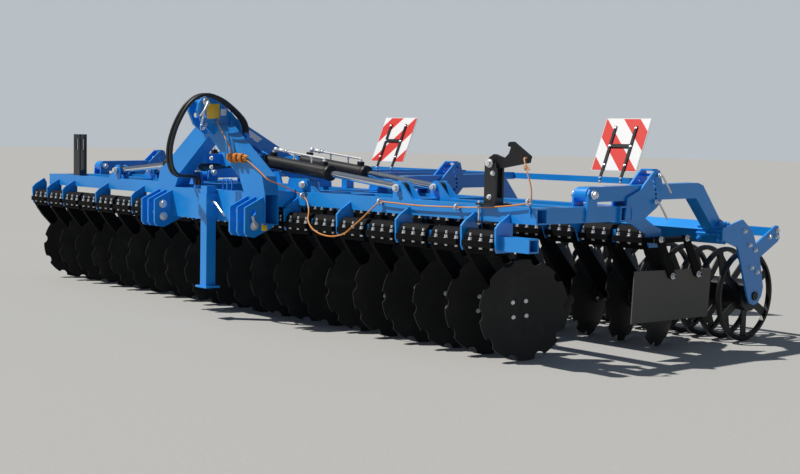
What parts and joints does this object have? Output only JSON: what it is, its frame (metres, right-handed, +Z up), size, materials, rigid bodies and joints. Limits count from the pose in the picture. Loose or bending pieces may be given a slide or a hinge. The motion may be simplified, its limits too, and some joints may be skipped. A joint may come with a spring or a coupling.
{
  "type": "disc harrow",
  "caption": "Mounted folding disc harrow with individually carried notched discs in two rows, a ring roller behind each wing, a three-point headstock and warning boards.",
  "frame": {"origin": "centre of the box on the ground, cords apart", "axes": "+Z up, -Y towards the tractor, +X the machine's left"},
  "size_m": [5.257, 2.8881, 1.3689],
  "materials": {
    "blue_paint": "gloss",
    "black_paint": "satin",
    "roller_paint": "satin",
    "disc_steel": "satin",
    "rod_chrome": "polished",
    "board_paint": "gloss",
    "hose_rubber": "matte",
    "rope_fibre": "matte"
  },
  "bodies": {
    "frame": {"centre_frame": "blue_paint", "headstock": "blue_paint", "arms_centre": "black_paint", "warning_boards": "board_paint", "centre_cords": "hose_rubber"},
    "stand": {"parking_stand": "blue_paint"},
    "wing_left": {"wing_frame_left": "blue_paint", "arms_left": "black_paint", "rope_wing": "rope_fibre"},
    "wing_right": {"wing_frame_right": "blue_paint", "arms_right": "black_paint"},
    "roller_arms_left": {"roller_frame_left": "blue_paint"},
    "roller_arms_right": {"roller_frame_right": "blue_paint"},
    "roller_left": {"roller_left": "roller_paint"},
    "roller_right": {"roller_right": "roller_paint"},
    "barrels_left": {"barrels_left": "black_paint"},
    "barrels_right": {"barrels_right": "black_paint"},
    "rods_left": {"rods_left": "rod_chrome"},
    "rods_right": {"rods_right": "rod_chrome"},
    "hook": {"hook": "black_paint"},
    "disc_f01": {"disc_f01": "disc_steel"},
    "disc_r01": {"disc_r01": "disc_steel"},
    "disc_f02": {"disc_f02": "disc_steel"},
    "disc_r02": {"disc_r02": "disc_steel"},
    "disc_f03": {"disc_f03": "disc_steel"},
    "disc_r03": {"disc_r03": "disc_steel"},
    "disc_f04": {"disc_f04": "disc_steel"},
    "disc_r04": {"disc_r04": "disc_steel"},
    "disc_f05": {"disc_f05": "disc_steel"},
    "disc_r05": {"disc_r05": "disc_steel"},
    "disc_f06": {"disc_f06": "disc_steel"},
    "disc_r06": {"disc_r06": "disc_steel"},
    "disc_f07": {"disc_f07": "disc_steel"},
    "disc_r07": {"disc_r07": "disc_steel"},
    "disc_f08": {"disc_f08": "disc_steel"},
    "disc_r08": {"disc_r08": "disc_steel"},
    "disc_f09": {"disc_f09": "disc_steel"},
    "disc_r09": {"disc_r09": "disc_steel"},
    "disc_f10": {"disc_f10": "disc_steel"},
    "disc_r10": {"disc_r10": "disc_steel"},
    "disc_f11": {"disc_f11": "disc_steel"},
    "disc_r11": {"disc_r11": "disc_steel"},
    "disc_f12": {"disc_f12": "disc_steel"},
    "disc_r12": {"disc_r12": "disc_steel"},
    "disc_f13": {"disc_f13": "disc_steel"},
    "disc_r13": {"disc_r13": "disc_steel"},
    "disc_f14": {"disc_f14": "disc_steel"},
    "disc_r14": {"disc_r14": "disc_steel"},
    "disc_f15": {"disc_f15": "disc_steel"},
    "disc_r15": {"disc_r15": "disc_steel"},
    "disc_f16": {"disc_f16": "disc_steel"},
    "disc_r16": {"disc_r16": "disc_steel"},
    "disc_f17": {"disc_f17": "disc_steel"},
    "disc_r17": {"disc_r17": "disc_steel"},
    "disc_f18": {"disc_f18": "disc_steel"},
    "disc_r18": {"disc_r18": "disc_steel"},
    "disc_f19": {"disc_f19": "disc_steel"},
    "disc_r19": {"disc_r19": "disc_steel"},
    "disc_f20": {"disc_f20": "disc_steel"},
    "disc_r20": {"disc_r20": "disc_steel"}
  },
  "joints": [
    {"name": "fold_left", "type": "hinge", "parent": "frame", "child": "wing_left", "pos_m": [0.68546, -0.97556, 0.84], "axis": [0, -1, 0], "range_deg": [0, 105]},
    {"name": "fold_right", "type": "hinge", "parent": "frame", "child": "wing_right", "pos_m": [-0.67454, -0.97556, 0.84], "axis": [0, 1, 0], "range_deg": [0, 105]},
    {"name": "roller_lift_left", "type": "hinge", "parent": "wing_left", "child": "roller_arms_left", "pos_m": [2.48546, -0.60256, 0.858], "axis": [1, 0, 0], "range_deg": [0, 4]},
    {"name": "roller_lift_right", "type": "hinge", "parent": "wing_right", "child": "roller_arms_right", "pos_m": [-2.47454, -0.60256, 0.858], "axis": [1, 0, 0], "range_deg": [0, 4]},
    {"name": "stand_slide", "type": "slide", "parent": "frame", "child": "stand", "axis": [0, 0, 1], "range_m": [-0.185, 0.05]},
    {"name": "hook_swing", "type": "hinge", "parent": "wing_left", "child": "hook", "pos_m": [2.20946, -0.97556, 1.007], "axis": [0, -1, 0], "range_deg": [0, 95]},
    {"name": "cylinder_turn_left", "type": "hinge", "parent": "frame", "child": "barrels_left", "pos_m": [0.23546, -0.97556, 0.97], "axis": [0, -1, 0], "range_deg": [0, 77.17]},
    {"name": "cylinder_stroke_left", "type": "slide", "parent": "barrels_left", "child": "rods_left", "axis": [0.996, 0, -0.0893], "range_m": [-0.5833, 0]},
    {"name": "cylinder_turn_right", "type": "hinge", "parent": "frame", "child": "barrels_right", "pos_m": [-0.22454, -0.97556, 0.97], "axis": [0, 1, 0], "range_deg": [0, 77.17]},
    {"name": "cylinder_stroke_right", "type": "slide", "parent": "barrels_right", "child": "rods_right", "axis": [-0.996, 0, -0.0893], "range_m": [-0.5833, 0]},
    {"name": "roller_spin_left", "type": "hinge", "parent": "roller_arms_left", "child": "roller_left", "pos_m": [1.32546, 0.77744, 0.266], "axis": [1, 0, 0], "continuous": true},
    {"name": "roller_spin_right", "type": "hinge", "parent": "roller_arms_right", "child": "roller_right", "pos_m": [-1.31454, 0.77744, 0.266], "axis": [1, 0, 0], "continuous": true},
    {"name": "disc_f01_spin", "type": "hinge", "parent": "wing_right", "child": "disc_f01", "pos_m": [-2.47454, -0.80256, 0.26], "axis": [0.9563, -0.2924, 0], "continuous": true},
    {"name": "disc_r01_spin", "type": "hinge", "parent": "wing_right", "child": "disc_r01", "pos_m": [-2.38954, 0.19244, 0.26], "axis": [-0.9563, -0.2924, 0], "continuous": true},
    {"name": "disc_f02_spin", "type": "hinge", "parent": "wing_right", "child": "disc_f02", "pos_m": [-2.22454, -0.80256, 0.26], "axis": [0.9563, -0.2924, 0], "continuous": true},
    {"name": "disc_r02_spin", "type": "hinge", "parent": "wing_right", "child": "disc_r02", "pos_m": [-2.13954, 0.19244, 0.26], "axis": [-0.9563, -0.2924, 0], "continuous": true},
    {"name": "disc_f03_spin", "type": "hinge", "parent": "wing_right", "child": "disc_f03", "pos_m": [-1.97454, -0.80256, 0.26], "axis": [0.9563, -0.2924, 0], "continuous": true},
    {"name": "disc_r03_spin", "type": "hinge", "parent": "wing_right", "child": "disc_r03", "pos_m": [-1.88954, 0.19244, 0.26], "axis": [-0.9563, -0.2924, 0], "continuous": true},
    {"name": "disc_f04_spin", "type": "hinge", "parent": "wing_right", "child": "disc_f04", "pos_m": [-1.72454, -0.80256, 0.26], "axis": [0.9563, -0.2924, 0], "continuous": true},
    {"name": "disc_r04_spin", "type": "hinge", "parent": "wing_right", "child": "disc_r04", "pos_m": [-1.63954, 0.19244, 0.26], "axis": [-0.9563, -0.2924, 0], "continuous": true},
    {"name": "disc_f05_spin", "type": "hinge", "parent": "wing_right", "child": "disc_f05", "pos_m": [-1.47454, -0.80256, 0.26], "axis": [0.9563, -0.2924, 0], "continuous": true},
    {"name": "disc_r05_spin", "type": "hinge", "parent": "wing_right", "child": "disc_r05", "pos_m": [-1.38954, 0.19244, 0.26], "axis": [-0.9563, -0.2924, 0], "continuous": true},
    {"name": "disc_f06_spin", "type": "hinge", "parent": "wing_right", "child": "disc_f06", "pos_m": [-1.22454, -0.80256, 0.26], "axis": [0.9563, -0.2924, 0], "continuous": true},
    {"name": "disc_r06_spin", "type": "hinge", "parent": "wing_right", "child": "disc_r06", "pos_m": [-1.13954, 0.19244, 0.26], "axis": [-0.9563, -0.2924, 0], "continuous": true},
    {"name": "disc_f07_spin", "type": "hinge", "parent": "wing_right", "child": "disc_f07", "pos_m": [-0.97454, -0.80256, 0.26], "axis": [0.9563, -0.2924, 0], "continuous": true},
    {"name": "disc_r07_spin", "type": "hinge", "parent": "wing_right", "child": "disc_r07", "pos_m": [-0.88954, 0.19244, 0.26], "axis": [-0.9563, -0.2924, 0], "continuous": true},
    {"name": "disc_f08_spin", "type": "hinge", "parent": "frame", "child": "disc_f08", "pos_m": [-0.72454, -0.80256, 0.26], "axis": [0.9563, -0.2924, 0], "continuous": true},
    {"name": "disc_r08_spin", "type": "hinge", "parent": "frame", "child": "disc_r08", "pos_m": [-0.63954, 0.19244, 0.26], "axis": [-0.9563, -0.2924, 0], "continuous": true},
    {"name": "disc_f09_spin", "type": "hinge", "parent": "frame", "child": "disc_f09", "pos_m": [-0.47454, -0.80256, 0.26], "axis": [0.9563, -0.2924, 0], "continuous": true},
    {"name": "disc_r09_spin", "type": "hinge", "parent": "frame", "child": "disc_r09", "pos_m": [-0.38954, 0.19244, 0.26], "axis": [-0.9563, -0.2924, 0], "continuous": true},
    {"name": "disc_f10_spin", "type": "hinge", "parent": "frame", "child": "disc_f10", "pos_m": [-0.22454, -0.80256, 0.26], "axis": [0.9563, -0.2924, 0], "continuous": true},
    {"name": "disc_r10_spin", "type": "hinge", "parent": "frame", "child": "disc_r10", "pos_m": [-0.13954, 0.19244, 0.26], "axis": [-0.9563, -0.2924, 0], "continuous": true},
    {"name": "disc_f11_spin", "type": "hinge", "parent": "frame", "child": "disc_f11", "pos_m": [0.02546, -0.80256, 0.26], "axis": [0.9563, -0.2924, 0], "continuous": true},
    {"name": "disc_r11_spin", "type": "hinge", "parent": "frame", "child": "disc_r11", "pos_m": [0.11046, 0.19244, 0.26], "axis": [-0.9563, -0.2924, 0], "continuous": true},
    {"name": "disc_f12_spin", "type": "hinge", "parent": "frame", "child": "disc_f12", "pos_m": [0.27546, -0.80256, 0.26], "axis": [0.9563, -0.2924, 0], "continuous": true},
    {"name": "disc_r12_spin", "type": "hinge", "parent": "frame", "child": "disc_r12", "pos_m": [0.36046, 0.19244, 0.26], "axis": [-0.9563, -0.2924, 0], "continuous": true},
    {"name": "disc_f13_spin", "type": "hinge", "parent": "frame", "child": "disc_f13", "pos_m": [0.52546, -0.80256, 0.26], "axis": [0.9563, -0.2924, 0], "continuous": true},
    {"name": "disc_r13_spin", "type": "hinge", "parent": "frame", "child": "disc_r13", "pos_m": [0.61046, 0.19244, 0.26], "axis": [-0.9563, -0.2924, 0], "continuous": true},
    {"name": "disc_f14_spin", "type": "hinge", "parent": "wing_left", "child": "disc_f14", "pos_m": [0.77546, -0.80256, 0.26], "axis": [0.9563, -0.2924, 0], "continuous": true},
    {"name": "disc_r14_spin", "type": "hinge", "parent": "wing_left", "child": "disc_r14", "pos_m": [0.86046, 0.19244, 0.26], "axis": [-0.9563, -0.2924, 0], "continuous": true},
    {"name": "disc_f15_spin", "type": "hinge", "parent": "wing_left", "child": "disc_f15", "pos_m": [1.02546, -0.80256, 0.26], "axis": [0.9563, -0.2924, 0], "continuous": true},
    {"name": "disc_r15_spin", "type": "hinge", "parent": "wing_left", "child": "disc_r15", "pos_m": [1.11046, 0.19244, 0.26], "axis": [-0.9563, -0.2924, 0], "continuous": true},
    {"name": "disc_f16_spin", "type": "hinge", "parent": "wing_left", "child": "disc_f16", "pos_m": [1.27546, -0.80256, 0.26], "axis": [0.9563, -0.2924, 0], "continuous": true},
    {"name": "disc_r16_spin", "type": "hinge", "parent": "wing_left", "child": "disc_r16", "pos_m": [1.36046, 0.19244, 0.26], "axis": [-0.9563, -0.2924, 0], "continuous": true},
    {"name": "disc_f17_spin", "type": "hinge", "parent": "wing_left", "child": "disc_f17", "pos_m": [1.52546, -0.80256, 0.26], "axis": [0.9563, -0.2924, 0], "continuous": true},
    {"name": "disc_r17_spin", "type": "hinge", "parent": "wing_left", "child": "disc_r17", "pos_m": [1.61046, 0.19244, 0.26], "axis": [-0.9563, -0.2924, 0], "continuous": true},
    {"name": "disc_f18_spin", "type": "hinge", "parent": "wing_left", "child": "disc_f18", "pos_m": [1.77546, -0.80256, 0.26], "axis": [0.9563, -0.2924, 0], "continuous": true},
    {"name": "disc_r18_spin", "type": "hinge", "parent": "wing_left", "child": "disc_r18", "pos_m": [1.86046, 0.19244, 0.26], "axis": [-0.9563, -0.2924, 0], "continuous": true},
    {"name": "disc_f19_spin", "type": "hinge", "parent": "wing_left", "child": "disc_f19", "pos_m": [2.02546, -0.80256, 0.26], "axis": [0.9563, -0.2924, 0], "continuous": true},
    {"name": "disc_r19_spin", "type": "hinge", "parent": "wing_left", "child": "disc_r19", "pos_m": [2.11046, 0.19244, 0.26], "axis": [-0.9563, -0.2924, 0], "continuous": true},
    {"name": "disc_f20_spin", "type": "hinge", "parent": "wing_left", "child": "disc_f20", "pos_m": [2.27546, -0.80256, 0.26], "axis": [0.9563, -0.2924, 0], "continuous": true},
    {"name": "disc_r20_spin", "type": "hinge", "parent": "wing_left", "child": "disc_r20", "pos_m": [2.36046, 0.19244, 0.26], "axis": [-0.9563, -0.2924, 0], "continuous": true}
  ],
  "couplings": [
    {"joint": "cylinder_turn_left", "follows": "fold_left", "ratio": 0.73304},
    {"joint": "cylinder_stroke_left", "follows": "fold_left", "m_per_rad": -0.31773},
    {"joint": "cylinder_turn_right", "follows": "fold_right", "ratio": 0.73304},
    {"joint": "cylinder_stroke_right", "follows": "fold_right", "m_per_rad": -0.31773}
  ]
}
